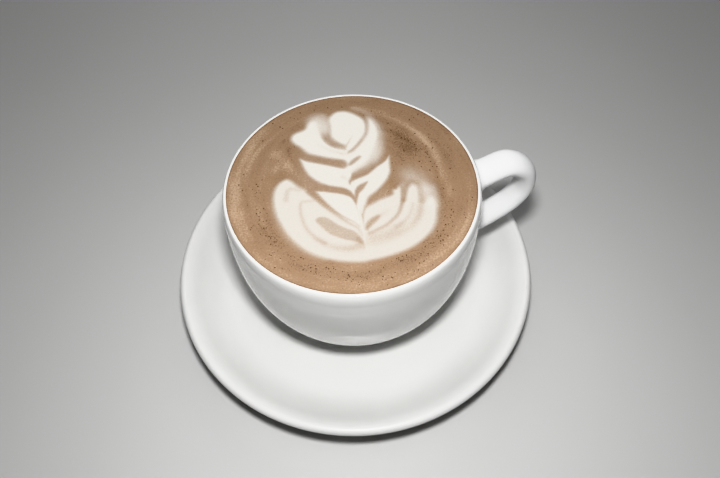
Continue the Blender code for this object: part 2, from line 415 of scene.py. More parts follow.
def cupInside(make):
    # from the lip's inner side down to the middle of the floor
    heights = np.linspace(lipLevel, make["floorBlend"], 26)
    depth = lipLevel - heights
    wall = 2 * make["lipInner"] + (make["wall"] - 2 * make["lipInner"]) * rise(depth / make["wallFrom"])
    wall += (make["wallLow"] - make["wall"]) * depth / (lipLevel - make["floorBlend"])
    low = float(bowlRadius(make["floorBlend"])) - make["wallLow"]
    angles = np.linspace(0, math.pi / 2, 16)[1:-1]
    drop = (make["floorBlend"] - make["floor"]) * np.sin(angles) ** (2 / make["floorPower"])
    side = list(zip(bowlRadius(heights) - wall, heights))
    return side + list(zip(low * np.cos(angles), make["floorBlend"] - drop)) + [(0.0, make["floor"])]


def cupProfile(make):
    inner = arcPoints(lipCentre, make["lipInner"], math.pi, math.pi / 2, 12)
    reach = float(bowlRadius(easeFrom)) - lipCentre[0]
    outerLip = [(lipCentre[0] + reach * math.sin(a), easeFrom + make["lipEase"] * math.cos(a))
                for a in np.linspace(0, math.pi / 2, 22)[1:]]
    hollow = cupFoot + make["footHeight"]
    heights = np.linspace(easeFrom, hollow + make["footEase"], 84)[1:]
    outside = list(zip(outerRadius(heights), heights))
    foot = underFoot(make, cupFoot, hollow)
    bottom = easedLine(outside[-1], (-1, make["underSlope"]), foot[0], (-1, 0), 5)
    return cupInside(make)[::-1] + inner[1:] + outerLip + outside + bottom + foot


def routePoint(route, t):
    # smooth line through the route's points, t running from 0 to the last of them
    p = np.array(route)
    t = np.clip(t, 0, len(p) - 1.0001)
    i = np.floor(t).astype(int)
    before, after = p[np.maximum(i - 1, 0)], p[np.minimum(i + 2, len(p) - 1)]
    return curvePoint(before, p[i], p[i + 1], after, (t - i)[..., None])


def strapPoint(make, theta, t):
    # the strap's skin at an angle round its section, and the direction out of the section there
    route, step = make["route"], 0.01
    here = routePoint(route, t)
    run = unit((routePoint(route, t + step) - routePoint(route, t - step))[..., :2])
    across, up = np.cos(theta) * make["width"] / 2, np.sin(theta) * make["thickness"] / 2
    out = np.stack([-run[..., 1] * up, across + 0 * t, run[..., 0] * up], -1)
    centre = np.stack([here[..., 0], 0 * t, here[..., 1]], -1)
    return centre + out * here[..., 2:3], unit(out)


def wallNormal(p):
    z, step = p[..., 2], 1e-5
    slope = (outerRadius(z + step) - outerRadius(z - step)) / (2 * step)
    r = np.hypot(p[..., 0], p[..., 1])
    return unit(np.stack([p[..., 0] / r, p[..., 1] / r, -slope], -1))


def wallDistance(p):
    n = wallNormal(p)
    return (np.hypot(p[..., 0], p[..., 1]) - outerRadius(p[..., 2])) * np.hypot(n[..., 0], n[..., 1])


def alongWall(directions, n):
    return unit(directions - (directions * n).sum(-1)[:, None] * n)


def reachWall(make, theta, target, near, far):
    # where the strap's line at theta is the target distance from the wall, between two places on the route
    low, high = np.full(len(theta), float(near)), np.full(len(theta), float(far))
    for _ in range(make["halvings"]):
        middle = (low + high) / 2
        outside = wallDistance(strapPoint(make, theta, middle)[0]) > target
        low, high = np.where(outside, low, middle), np.where(outside, middle, high)
    return (low + high) / 2


def filletSize(sizes, theta):
    top, side, under = sizes
    s = np.sin(theta)
    return np.where(s > 0, side + (top - side) * s**2, side + (under - side) * s**2)


def rootRings(make, theta, sizes, near, far):
    # rings from the wall out to the plain strap, along a quarter round that leaves the wall flat
    radius = filletSize(sizes, theta)
    rings = []
    for phi in np.linspace(0, math.pi / 2, make["filletRings"])[:-1]:
        off = radius * (1 - math.cos(phi))
        p, out = strapPoint(make, theta, reachWall(make, theta, off, near, far))
        p = p + alongWall(out, wallNormal(p)) * (radius * (1 - math.sin(phi)))[:, None]
        for _ in range(4):
            p = p + wallNormal(p) * (off - wallDistance(p))[:, None]
        rings.append(p)
    return rings, reachWall(make, theta, radius, near, far)


def tuckedRing(ring, make):
    # a ring a little outside the given one and just under the glaze, so the seam lies flat
    n = wallNormal(ring)
    return ring + alongWall(ring - ring.mean(0), n) * make["tuckReach"] - n * make["tuckDepth"]


def handleRings(make):
    theta = np.linspace(0, 2 * math.pi, make["around"], endpoint=False)
    last, reach = len(make["route"]) - 1, make["rootReach"]
    # the strap's upper side faces up at its upper root and into the loop at its lower one
    upper, start = rootRings(make, theta, make["filletUpper"], 0.0, reach)
    lower, end = rootRings(make, theta, make["filletLower"][::-1], last, last - reach)
    middle = [strapPoint(make, theta, start + (end - start) * s)[0] for s in np.linspace(0, 1, make["along"])]
    return [tuckedRing(upper[0], make)] + upper + middle + lower[::-1] + [tuckedRing(lower[0], make)]


def joinHandle(mesh, make):
    # stands the handle on the wall: its end rings leave the wall flat and are shaded as the wall is there
    rings = handleRings(make)
    work = bmesh.new()
    work.from_mesh(mesh)
    first, count = len(work.verts), make["around"]
    grid = [[work.verts.new(p) for p in ring] for ring in rings]
    for a, b in zip(grid[:-1], grid[1:]):
        for i in range(count):
            j = (i + 1) % count
            work.faces.new((a[i], a[j], b[j], b[i])).smooth = True
    for ring in (grid[0], grid[-1]):
        work.faces.new(ring)
    bmesh.ops.recalc_face_normals(work, faces=work.faces)
    print("open edges on cup and handle:", len([e for e in work.edges if not e.is_manifold]))
    work.to_mesh(mesh)
    work.free()
    normals = np.zeros((len(mesh.vertices), 3))
    for k in (0, 1, len(rings) - 2, len(rings) - 1):
        normals[first + k * count:first + (k + 1) * count] = wallNormal(rings[k])
    mesh.normals_split_custom_set_from_vertices(normals)


cup = turnedWare("cupWare", turned, cupProfile(cupMake), cupMake)
joinHandle(cup.data, handleMake)
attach(cup, "root")
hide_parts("cup")
print("cup made:", len(cup.data.polygons), "faces")


# the milk figure, in millimetres on the drink as it is seen from in front: x to the right, y away

figure = {
    "turn": math.radians(-9.2),          # its upright against the cup's own Y axis
    "grow": (1.012, 1.004),              # and its fit to the drink: size and shift, across and along
    "shift": (-0.10, 0.57),
    # each leaf: strength, softness of its edge, outline
    "leaves": {
        "bowl": (0.93, 1.4, [
            (-24.7, 3.9), (-26.9, 2.8), (-28.4, 0.9), (-29.2, -1.7), (-29.5, -4.8), (-29.2, -8.2),
            (-28.6, -11), (-27.7, -14), (-26.2, -17.2), (-24.6, -20.2), (-22.8, -22.8), (-20.4, -25.6),
            (-17.8, -28), (-15.1, -29.9), (-12, -31.4), (-8.9, -32.5), (-5, -33.5), (-1, -34), (2.8, -34.1),
            (6, -33.5), (9.5, -32.8), (13.4, -31.7), (17.2, -30.3), (21.1, -28.4), (24.2, -26.1),
            (26.6, -23.7), (28.5, -21), (29.8, -18), (30.4, -14.9), (30.6, -11.8), (30.3, -9.2),
            (29.4, -7.4), (28, -7.6), (26.4, -9.5), (25.2, -9.4), (25.1, -7), (24.9, -4.2), (24.2, -1.9),
            (22.7, -0.7), (20.9, -2.5), (20, -4.9), (19.2, -8.4), (18.5, -8.4), (18.6, -5.6), (18.4, -2.8),
            (17.6, -1.6), (16.5, -2.6), (15.2, -3.3), (14.9, -5.2), (12.5, -6.5), (9.6, -7.8), (6.6, -9.6),
            (4.4, -11), (3.4, -14), (2.9, -18), (2.4, -18.6), (0.6, -16.8), (-1.8, -15.3), (-4.3, -13.6),
            (-7.2, -11.6), (-9.9, -9.6), (-12.4, -7.3), (-14.8, -4.8), (-17.3, -2), (-19.7, -0.1),
            (-21, 1.1), (-22.8, 2.9)]),
        "lowerLeft": (1.0, 1.1, [
            (-13.5, -2.2), (-10.5, -2.6), (-7.8, -3.2), (-4.8, -3.8), (-2.5, -4.6), (-0.5, -5.5),
            (0.7, -7.6), (1.5, -9.6), (2.4, -13), (3, -17.6), (2.6, -20), (0.4, -17.7), (-2.2, -15.7),
            (-4.8, -13.7), (-7.1, -11.3), (-9, -9), (-10.9, -6.7), (-12.5, -4.3)]),
        "middleLeft": (1.0, 1.2, [
            (-19.7, 13.9), (-16.3, 12.4), (-11.3, 10.9), (-7.5, 9.7), (-4, 8.6), (-2.4, 8.5), (-0.6, 10),
            (0, 6), (-0.6, 2), (0.6, -1), (0.7, -4.6), (0, -4), (-1.3, -2.7), (-3.2, -1.5), (-5.9, -0.7),
            (-8.6, -0.1), (-10.9, 1), (-13.2, 2.5), (-14.8, 3.9), (-16.4, 5.7), (-17.9, 8.4), (-19, 11.4)]),
        "upperLeft": (1.0, 1.5, [
            (-23.6, 24.8), (-22.9, 26.6), (-21.3, 27.8), (-19.3, 28.7), (-17.9, 29.8), (-17.1, 31.6),
            (-16, 33.2), (-14.4, 33.4), (-13, 31.4), (-12.2, 28.6), (-11.5, 26.2), (-10.4, 23.5),
            (-8.4, 21), (-6.1, 19.4), (-2.6, 18.4), (-0.8, 15), (-0.9, 11.6), (-4.3, 12.6), (-7, 13.2),
            (-10.5, 14.1), (-13.5, 15.2), (-16.6, 16.5), (-18.5, 18.4), (-19.9, 20), (-21.7, 21.3),
            (-23.2, 23.1)]),
        "heart": (1.0, 1.4, [
            (-8.4, 34), (-7.6, 36.4), (-5.6, 38.3), (-3.2, 38.9), (-0.6, 38.5), (2.2, 37), (4.9, 34.7),
            (6.3, 32.4), (6.9, 29.6), (6.5, 26.6), (4.8, 23), (2.6, 19.9), (0.2, 17.2), (-1.8, 16.2),
            (-2.4, 19.8), (-3.8, 20.9), (-6.1, 22.8), (-7.5, 24.7), (-7.9, 27.2), (-7.9, 30.5)]),
        "crescent": (1.0, 1.7, [
            (7.2, 34), (8.9, 33.8), (10.2, 31.8), (11.2, 29), (11.6, 25.6), (11.2, 22.6), (10.2, 19.4),
            (9.2, 16.4), (7.4, 12.4), (5, 9.6), (2.4, 7.8), (0.4, 5.4), (-0.9, 2.4), (-2.6, 5), (-3.2, 11),
            (-3, 15.4), (0.4, 16.9), (2.8, 19.7), (5, 22.8), (6.7, 26.4), (7, 30)]),
        "rightMiddle": (1.0, 1.2, [
            (14.8, 14), (13.3, 11.6), (11.8, 10.1), (9.8, 8.5), (7.9, 6.6), (6, 4.8), (3.7, 3.7),
            (1.4, 2.7), (-0.3, 1.2), (0, -1.5), (1.4, -5), (1.4, -9), (2.2, -14), (3.6, -13.6),
            (4.5, -10.6), (5, -8.8), (5.5, -7), (6.5, -5.5), (8.4, -3.9), (9.9, -2.4), (11.5, -0.5),
            (13, 1.5), (14, 3.4), (14.8, 5.8), (14.9, 8.8), (14.9, 11.8)]),
    },
    # the stem: softness, half width, route
    "stem": (0.8, 0.9, [
        (-1.8, 17), (-1.7, 14), (-1.6, 11), (-1.3, 8), (-0.6, 4), (0.2, -1), (0.5, -3.6), (1.8, -9),
        (2.2, -13), (2.7, -17), (3.2, -21), (3.7, -25), (4.1, -29)]),
    # thin milk round the leaves: strength, softness, outline
    "haze": {
        "veil": (0.2, 4.0, [
            (-20, 20), (-17, 29), (-10, 34), (0, 34), (8, 31), (10, 22), (12, 14), (14, 8), (12, 0),
            (14, -6), (10, -14), (0, -18), (-10, -12), (-18, -4), (-21, 4), (-20, 12)]),
        "slotVeil": (0.22, 1.6, [
            (-10.6, 32), (-11.2, 27), (-9.6, 23.4), (-6.8, 20.6), (-3, 18.6), (-3, 20), (-6.4, 23),
            (-8.6, 26.6), (-8.8, 32)]),
        "crescentGap": (0.3, 1.4, [
            (6.2, 35.6), (8, 35.2), (8, 31), (7.6, 27), (5.6, 23), (4.6, 24), (6.6, 28), (6.8, 32)]),
        "overUpperLeft": (0.78, 3.4, [
            (-17, 32), (-16.4, 35.6), (-12.6, 37.4), (-10, 34.5), (-9.2, 31), (-9.6, 28), (-11.6, 26.6),
            (-14, 29)]),
        "besideHeart": (0.35, 2.0, [
            (-11, 37.5), (-8.6, 36), (-8, 31), (-8.4, 27), (-10.4, 28), (-11.4, 33)]),
        "overHeart": (0.36, 2.0, [(1, 40), (5, 37.6), (8, 35.6), (9.4, 36.6), (6, 39.6), (2.6, 41)]),
        "outerCrescent": (0.5, 2.4, [
            (9, 35), (12, 31.6), (13.6, 27), (13.8, 22), (13.4, 17), (12.4, 14.4), (9.6, 11), (8.6, 14),
            (10.6, 20), (11.4, 26), (10.4, 31)]),
        "crescentFoot": (0.6, 2.4, [
            (11.4, 21), (11.2, 15.6), (9.6, 11.6), (6.8, 8.8), (3.4, 7.2), (1.2, 6), (2, 9), (6, 12),
            (8, 16), (9.4, 20)]),
        "overLobes": (0.55, 5.0, [
            (18.6, 3), (19.4, 6), (22.4, 7.2), (26, 5), (28.6, 2), (29.4, -2), (28, -4), (24, -1),
            (20, -0.6)]),
        "thirdLobe": (0.74, 2.8, [
            (25.4, -2), (27.6, -1), (30, -3), (31, -7), (31, -11), (29, -12), (26.4, -11), (25, -7)]),
        "rightRim": (0.3, 2.4, [
            (31, -2), (32.2, -8), (32, -15), (30.4, -20), (28, -24), (27, -22), (29.4, -16), (29.6, -8),
            (29.6, -3)]),
        "leftRim": (0.28, 2.0, [
            (-29.6, 0), (-30.6, -5), (-30.2, -11), (-28, -18), (-24.4, -24.4), (-19, -29.6), (-12, -33),
            (-10, -31.6), (-17, -28), (-23, -22), (-27, -15), (-28.8, -8), (-28.6, -2)]),
        "lobeMouth": (0.38, 1.4, [
            (18, -0.6), (19.6, -0.2), (20, -2.6), (19.2, -7), (18.4, -6), (18.6, -3)]),
    },
    # crema that shows between or in the leaves: depth, softness, outline
    "gaps": {
        "upperBand": (0.8, 1.0, [
            (-20.5, 15.3), (-17.6, 15.5), (-14.3, 14.8), (-10.4, 13.8), (-7, 12.9), (-4.4, 12.4),
            (-2.2, 11.9), (-1.5, 10.6), (-1.8, 8.9), (-4, 8.7), (-6.4, 9.5), (-10, 10.6), (-14.3, 11.9),
            (-18, 13)]),
        "upperNotch": (0.74, 0.8, [
            (-1.1, 9.9), (-0.2, 11.6), (1.4, 13.2), (3.1, 14.2), (4, 13.8), (2.7, 12), (1.1, 10.4),
            (-0.4, 9.4)]),
        "middleBand": (0.88, 0.7, [
            (-14.2, -1.2), (-11, 0.6), (-8.4, -0.3), (-5.8, -0.9), (-3.2, -1.6), (-1.3, -2.8), (0.2, -4.4),
            (1, -5.6), (1.5, -7.6), (1.3, -9.2), (0.6, -7.6), (-0.5, -6), (-2.5, -4.5), (-4.8, -3.7),
            (-7.8, -3.1), (-10.5, -2.5), (-13.2, -2.3)]),
        "middleNotch": (0.86, 0.7, [
            (0.9, -5), (1, -3.4), (1.6, -1.5), (2.6, -0.3), (4.4, 0.7), (5.9, 1.4), (5.6, 0.2), (3.9, -2.6),
            (2.6, -4.2), (1.8, -6.4), (1.2, -8)]),
        "rightBand": (0.96, 0.8, [
            (-0.9, 0.4), (-0.9, 1.8), (0, 4.4), (1.1, 6), (3, 6.9), (5.4, 7.7), (7.6, 8.9), (9.6, 10.6),
            (11.2, 12.6), (12.6, 14.6), (14.8, 14.6), (13.4, 11.7), (11.8, 10.2), (9.8, 8.7), (7.9, 6.8),
            (6, 5), (3.7, 3.9), (1.4, 2.9), (-0.1, 1.6)]),
        "heartSlot": (0.53, 1.0, [
            (-10.6, 29), (-11.3, 26.2), (-10.5, 23.2), (-8.6, 20.7), (-6.4, 19.1), (-3.8, 18), (-2.7, 18.3),
            (-3.4, 19.7), (-6.1, 21.4), (-8.1, 23.4), (-9.2, 26), (-9.6, 29)]),
        "leftSlot": (0.41, 0.7, [
            (-13.7, -15.3), (-12.3, -14.3), (-10.1, -14.5), (-8.1, -15.8), (-5.5, -18), (-2.7, -19.7),
            (0, -21), (1.7, -22.9), (3.1, -26), (2, -26.4), (-0.5, -25.3), (-3.5, -24.4), (-5.8, -23.4),
            (-8.2, -22.2), (-10.1, -20.5), (-12, -18.3), (-13.3, -16.7)]),
        "rightSlot": (0.62, 0.9, [
            (4.1, -20.2), (4.6, -18), (5.7, -16.4), (7.5, -15), (9.6, -14.6), (8.8, -16.5), (7.4, -18),
            (5.9, -19.6), (4.8, -20.8)]),
        "lowerRight": (0.2, 2.4, [
            (5, -22.6), (9, -21.6), (14, -19.6), (17.4, -18), (17, -22), (13, -25.4), (8, -27),
            (4.6, -26.4)]),
        "lobeTip": (0.5, 0.5, [(16.2, -1.2), (16.6, -2.4), (15.8, -2.7), (15.2, -2)]),
    },
    # thin lines of crema through the milk: depth at start, middle and end, half width at both ends, route
    "lines": {
        "leftWing": ((0.66, 0.46, 0.12), (1.1, 0.5), [
            (-16, -2.6), (-13.8, -4.9), (-12.2, -6.8), (-10.1, -9.4), (-7.6, -12), (-5.1, -14.4),
            (-3, -16.4), (-1.2, -17.8), (0.4, -19), (1.8, -20.4), (3, -23)]),
        "lobeGap": ((0.66, 0.38, 0.28), (0.7, 0.7), [
            (19.2, -0.8), (19, -4.2), (18.4, -8), (17.7, -11), (16.4, -14.2), (14.2, -16.8), (11.4, -19.2),
            (8.4, -20.8), (5.6, -22.2)]),
        "heartEdge": ((0.38, 0.25, 0.14), (0.8, 0.6), [
            (7.2, 34), (7.1, 31), (6.8, 28.5), (6.1, 25.5), (4.5, 22.8), (2.6, 19.7), (0.3, 17),
            (-1.6, 15.6)]),
        "heartSlit": ((0.34, 0.22, 0.1), (0.5, 0.4), [(-1.8, 19.4), (-0.8, 21.4), (0.2, 23.4), (1, 25)]),
        "upperFold": ((0.06, 0.12, 0.18), (0.6, 0.7), [
            (-13, 21), (-10, 18.9), (-8.2, 17.6), (-5.5, 16.6), (-3.2, 15.6)]),
        "stemFold": ((0.2, 0.13, 0.06), (0.7, 0.6), [(-3.4, 4), (-2.4, 3), (-1.4, 1.8)]),
        "wingHook": ((0.15, 0.18, 0.2), (1, 1), [
            (-20, -1.6), (-22, -0.8), (-23.8, -1.2), (-24.5, -3), (-24.8, -6)]),
        "wingFold": ((0.18, 0.22, 0.27), (0.7, 0.8), [
            (-15, -7), (-17.6, -7), (-19.2, -7.8), (-19.3, -11.3), (-18.6, -14.6), (-17.6, -17.8),
            (-15.8, -20.9), (-13.5, -23.4), (-10.5, -25.6)]),
        "wingShade": ((0.1, 0.2, 0.3), (1, 1.5), [
            (-13.5, -23.8), (-10.5, -26), (-7.4, -27.4), (-4.3, -28.1), (-1.2, -28.2), (1.8, -27.4)]),
        "slotTail": ((0.26, 0.18, 0.1), (0.8, 0.5), [(1.6, -24.4), (2.8, -26.4), (3.6, -28.6)]),
        "lobeShade": ((0.32, 0.24, 0.06), (1.2, 1.5), [
            (25.6, -5), (25.3, -9), (24.8, -12), (23.6, -15.4), (22.2, -17.8), (20, -20.4), (17, -22.6),
            (13, -24)]),
        "lobeInner": ((0.14, 0.16, 0.16), (0.7, 0.8), [
            (22, -10), (21.4, -12.6), (20, -15.6), (17.8, -18.2), (15, -20)]),
        "slotHaze": ((0.2, 0.13, 0.06), (1, 1), [(9, -14.9), (11, -13.8), (13, -12.4)]),
        "petalFold": ((0.16, 0.11, 0.05), (0.8, 0.7), [(4.6, -10.4), (3.4, -12.6), (2.9, -15.6)]),
    },
}


def smoothPath(points, closed, step=0.4):
    # a smooth curve through the points, cut into short straight pieces
    p = np.array(points, float)
    n = len(p)
    pieces = []
    for i in range(n if closed else n - 1):
        if closed:
            a, b, c, d = p[i - 1], p[i], p[(i + 1) % n], p[(i + 2) % n]
        else:
            a, b, c, d = p[max(i - 1, 0)], p[i], p[i + 1], p[min(i + 2, n - 1)]
        count = max(2, int(np.hypot(*(c - b)) / step))
        pieces.append(curvePoint(a, b, c, d, np.linspace(0, 1, count, endpoint=False)[:, None]))
    if not closed:
        pieces.append(p[-1:])
    return np.vstack(pieces)


def insideLoop(points, loop):
    inside = np.zeros(len(points), bool)
    for p, q in zip(loop, np.roll(loop, -1, axis=0)):
        if p[1] != q[1]:
            crosses = (p[1] > points[:, 1]) != (q[1] > points[:, 1])
            inside ^= crosses & (points[:, 0] < p[0] + (points[:, 1] - p[1]) * (q[0] - p[0]) / (q[1] - p[1]))
    return inside


def distanceTo(path, points, closed):
    # distance from each point to the path, and its share of the way along it
    starts = path if closed else path[:-1]
    ends = np.roll(path, -1, axis=0) if closed else path[1:]
    best = np.full(len(points), np.inf)
    along = np.zeros(len(points))
    for i, (p, q) in enumerate(zip(starts, ends)):
        run = q - p
        t = np.clip(((points - p) @ run) / (run @ run), 0, 1)
        away = ((points - p - t[:, None] * run) ** 2).sum(1)
        closer = away < best
        best[closer] = away[closer]
        along[closer] = (i + t[closer]) / len(starts)
    return np.sqrt(best), along


def nearPath(points, path, margin):
    return np.all((points > path.min(0) - margin) & (points < path.max(0) + margin), axis=1)


def leafCover(points, outline, softness):
    # 1 inside the outline, 0 outside, with a soft edge
    path = smoothPath(outline, True)
    cover = np.zeros(len(points))
    pick = nearPath(points, path, softness)
    distance = distanceTo(path, points[pick], True)[0]
    inside = insideLoop(points[pick], path)
    cover[pick] = rise(0.5 + np.where(inside, distance, -distance) / (2 * softness))
    return cover


lineReach = 3                # a line is drawn out to this many half widths
lineFade = 1.4               # and fades as a bell of this breadth


def lineCover(points, strengths, widths, route):
    # a soft line, with its strength at start, middle and end, and its half width at both ends
    path = smoothPath(route, False)
    cover = np.zeros(len(points))
    pick = nearPath(points, path, lineReach * max(widths))
    distance, along = distanceTo(path, points[pick], False)
    strength = np.interp(along, (0, 0.5, 1), strengths)
    width = np.interp(along, (0, 1), widths)
    cover[pick] = strength * np.exp(-(distance / width) ** 2 / lineFade)
    return cover


def milkAt(points):
    # how much milk stands at each place of the drink, from 0 to 1
    milk = np.zeros(len(points))
    for strength, softness, outline in figure["leaves"].values():
        milk = np.maximum(milk, strength * leafCover(points, outline, softness))
    softness, width, route = figure["stem"]
    distance = distanceTo(smoothPath(route, False), points, False)[0]
    milk = np.maximum(milk, rise(0.5 + (width - distance) / (2 * softness)))
    for depth, softness, outline in figure["gaps"].values():
        milk *= 1 - depth * leafCover(points, outline, softness)
    for line in figure["lines"].values():
        milk *= 1 - lineCover(points, *line)
    for strength, softness, outline in figure["haze"].values():
        milk = 1 - (1 - milk) * (1 - strength * leafCover(points, outline, softness))
    return milk


# the crema's own shades on the same plan, paler above 0 and darker below:
# strength at start, middle and end, half width at both ends, route
cremaShades = {
    "rightArc": ((0.5, 1.15, 0.45), (1.2, 1.3), [
        (2, 40.6), (8, 39.2), (14, 36.4), (21, 31.4), (27, 25), (31, 18), (33.6, 11), (35, 3), (36, -6)]),
    "leftArc": ((0.2, 0.38, 0.55), (1, 1), [(-14, 38), (-21, 34.4), (-30, 27), (-36.6, 18.6), (-40, 9)]),
    "leftWall": ((0.4, 1.1, 0.2), (1.8, 2.8), [
        (-34, 30.4), (-39.6, 21), (-43, 10), (-44, 1), (-43.6, -8), (-40.6, -18), (-35.6, -27),
        (-30, -33)]),
    "leftStreak": ((0.3, 0.45, 0.6), (1.2, 1.4), [(-38.6, 2), (-37.6, -4), (-35.8, -10), (-33.6, -16)]),
    "lowerWall": ((0.1, 0.25, 0.2), (2.6, 2.6), [(-31, -32), (-18, -41), (-4, -44.4), (10, -43)]),
    "rightWall": ((0.1, 0.8, 0.2), (2.8, 2.6), [
        (6, -43.6), (16, -41), (24, -37), (31, -31.6), (37, -25.4), (41, -18.4), (43.4, -10)]),
    "wingHalo": ((0.5, 0.55, 0.6), (1.8, 1.6), [(-33.6, 1), (-32, 7), (-28, 10), (-24, 9.4), (-20, 5)]),
    "leftPatch": ((0.7, 0.65, 0.6), (2, 1.8), [(-29.6, 17), (-26.6, 14.4), (-24.6, 11.4)]),
    "leftDark": ((-0.5, -0.45, -0.4), (1, 1), [(-24.8, 20), (-23.6, 15), (-21.4, 10.4)]),
    "arcDark": ((-0.3, -0.5, -0.3), (1.6, 1.6), [(25, 33), (31, 25), (35.4, 16), (37.4, 7)]),
    "outerDark": ((-0.3, -0.3, -0.3), (1.6, 1.6), [(-27, 29), (-33, 20.6), (-36, 11), (-37, 4)]),
    "darkPatch": ((-0.5, -0.9, -0.7), (3.6, 3.6), [(15.6, 29), (18.4, 26), (20, 21), (22, 16)]),
    "darkPatchSide": ((-0.5, -0.45, -0.3), (3.6, 3.0), [(22, 25), (26, 18), (28.6, 11.6)]),
    "rightDark": ((-0.4, -0.45, -0.45), (2.4, 2.4), [
        (33, -2), (33.6, -11), (31, -20), (26.6, -27), (19, -33), (10, -36.4)]),
    "lowerDark": ((-0.3, -0.4, -0.4), (2.4, 2.4), [
        (8, -38.6), (-4, -38.6), (-16, -35), (-25, -28.4), (-31, -20), (-33, -12)]),
    "topDark": ((-0.25, -0.2, -0.15), (2, 2.4), [
        (-10, 41), (-4, 42), (4, 43.4), (16, 40.6), (27, 34), (35, 25)]),
}


def shadesAt(points):
    shade = np.zeros(len(points))
    for line in cremaShades.values():
        shade += lineCover(points, *line)
    return shade


# where bubbles gather in the crema, in the same form
frothLines = {
    "lowerRight": ((0.5, 1.0, 0.7), (2.2, 2.0), [
        (12, -36), (18, -33.4), (24, -31.2), (28, -28.4), (31, -24.4), (33.2, -20.4), (34.8, -16)]),
    "lower": ((0.6, 0.7, 0.4), (2.4, 2.4), [(-17, -34.8), (-6, -38.4), (4, -41), (14, -40.4), (22, -36.4)]),
    "left": ((0.4, 0.9, 0.6), (2.0, 2.4), [
        (-35, -3), (-34.4, -10), (-32, -17), (-28.4, -24), (-25, -28.4), (-20, -32)]),
    "darkPatch": ((0.5, 0.9, 0.6), (2.4, 3.0), [(16, 28), (21, 24.4), (24.6, 19), (27.6, 14), (29.8, 8)]),
    "right": ((0.3, 0.3, 0.3), (2.6, 2.6), [(33.6, 6), (35, -2), (35.4, -10)]),
}
frothMake = {
    "everywhere": 0.10,          # share of bubbles away from the lines
    "milkClears": 5,             # milk over one part in this leaves no bubbles
}


def frothAt(points, milk):
    froth = np.full(len(points), frothMake["everywhere"])
    for line in frothLines.values():
        froth = np.maximum(froth, lineCover(points, *line))
    return froth * np.clip(1 - milk * frothMake["milkClears"], 0, 1)


# the drink

drinkMake = {
    "rings": 150,
    "level": 0.00030,            # how far the drink's top stands under the crest of the lip
    "meniscus": 0.00014,         # how far the drink climbs at the lip
    "meniscusWidth": 0.0018,
    "milkProud": 0.00012,
    "paintedWallShade": 2.0,            # painted shade: the crema is darker in a thin line along the wall, where the drink meets it
    "paintedWallShadeWidth": 0.0005,
    "intoWall": 0.00015,         # the drink reaches this far into the porcelain
}


def drinkPlan(make):
    # rings of 6, 12, 18 ... points, so the whole disc has even triangles
    climb = rimHeight - make["level"] + make["meniscus"]
    edge = lipCentre[0] - math.sqrt(cupMake["lipInner"] ** 2 - (climb - lipCentre[1]) ** 2) + make["intoWall"]
    places, faces = [(0.0, 0.0)], []
    start = [0]
    for k in range(1, make["rings"] + 1):
        start.append(len(places))
        radius = edge * k / make["rings"]
        angles = np.arange(6 * k) * 2 * math.pi / (6 * k)
        places += [(radius * math.cos(a), radius * math.sin(a)) for a in angles]
        outer, inner = start[k], start[k - 1]
        inside = max(6 * (k - 1), 1)
        for i in range(6 * k):
            side, step = divmod(i, k)
            a, b = outer + i, outer + (i + 1) % (6 * k)
            c = inner + (side * (k - 1) + step) % inside
            faces.append((a, b, c))
            if step < k - 1:
                faces.append((c, b, inner + (side * (k - 1) + step + 1) % inside))
    return np.array(places), faces, edge, start[-1]


def drinkMesh(make):
    plan, faces, edge, lastRing = drinkPlan(make)
    c, s = math.cos(-figure["turn"]), math.sin(-figure["turn"])
    drawn = np.stack([plan[:, 0] * c - plan[:, 1] * s, plan[:, 0] * s + plan[:, 1] * c], 1) * 1000
    drawn = drawn * figure["grow"] + figure["shift"]
    radius = np.hypot(plan[:, 0], plan[:, 1])
    milk = milkAt(drawn)
    # the crema's tones, less a painted shade in a thin line where the drink meets the wall
    shade = shadesAt(drawn) - make["paintedWallShade"] * np.exp(-((edge - radius) / make["paintedWallShadeWidth"]) ** 2)
    froth = frothAt(drawn, milk) * (radius < edge - make["meniscusWidth"])
    climb = make["meniscus"] * np.clip(1 - (edge - radius) / make["meniscusWidth"], 0, 1) ** 2
    height = rimHeight - make["level"] + climb + make["milkProud"] * milk
    points = [tuple(p) for p in np.column_stack([plan, height])]
    # the sides go down inside the wall
    count = 6 * make["rings"]
    ring = list(range(lastRing, lastRing + count))
    directions = plan[ring] / radius[ring][:, None]
    for r, z in cupInside(cupMake)[2:-1:4]:
        base = len(points)
        points += [((r + make["intoWall"]) * x, (r + make["intoWall"]) * y, z) for x, y in directions]
        for i in range(count):
            j = (i + 1) % count
            faces.append((ring[j], ring[i], base + i, base + j))
        ring = list(range(base, base + count))
    faces.append(tuple(ring[::-1]))
    mesh = bpy.data.meshes.new("drink")
    mesh.from_pydata(points, [], faces)
    mesh.polygons.foreach_set("use_smooth", [True] * len(mesh.polygons))
    for name, values in (("milk", milk), ("shade", shade), ("froth", froth)):
        layer = mesh.attributes.new(name, "FLOAT", "POINT")
        padded = np.zeros(len(points), np.float32)
        padded[: len(values)] = values
        layer.data.foreach_set("value", padded)
    return mesh


drinkLook = {
    "cremaDark": (0.205, 0.138, 0.092),
    "cremaMiddle": (0.320, 0.226, 0.156),
    "cremaPale": (0.455, 0.345, 0.255),
    "cremaRange": 1.6,           # shades from minus this to this run from dark to pale
    "milkWhite": (0.62, 0.60, 0.565),
    "milkShade": (0.585, 0.565, 0.525),
    "milkFalloffAndThinning": (-0.032, 0.032, 0.93, 1.16),   # painted light and thinner milk: darker towards the base, whiter at the heart's end, against the key light's falloff; two places along Y, two factors
    "blend": 1.55,               # power that makes half cover look half way between crema and milk
    "cloud": (130.0, 1.1),       # scale and strength of each pattern in the crema
    "streak": (70.0, 420.0, 1.8),              # scale across the drink and along its radius, strength
    "grain": (1500.0, 3.2),
    "cells": (1900.0, 0.00005, 0.3),           # the fine froth: scale, depth and strength
    "rough": (0.44, 0.34),       # of crema and milk
    "ior": 1.34,
}


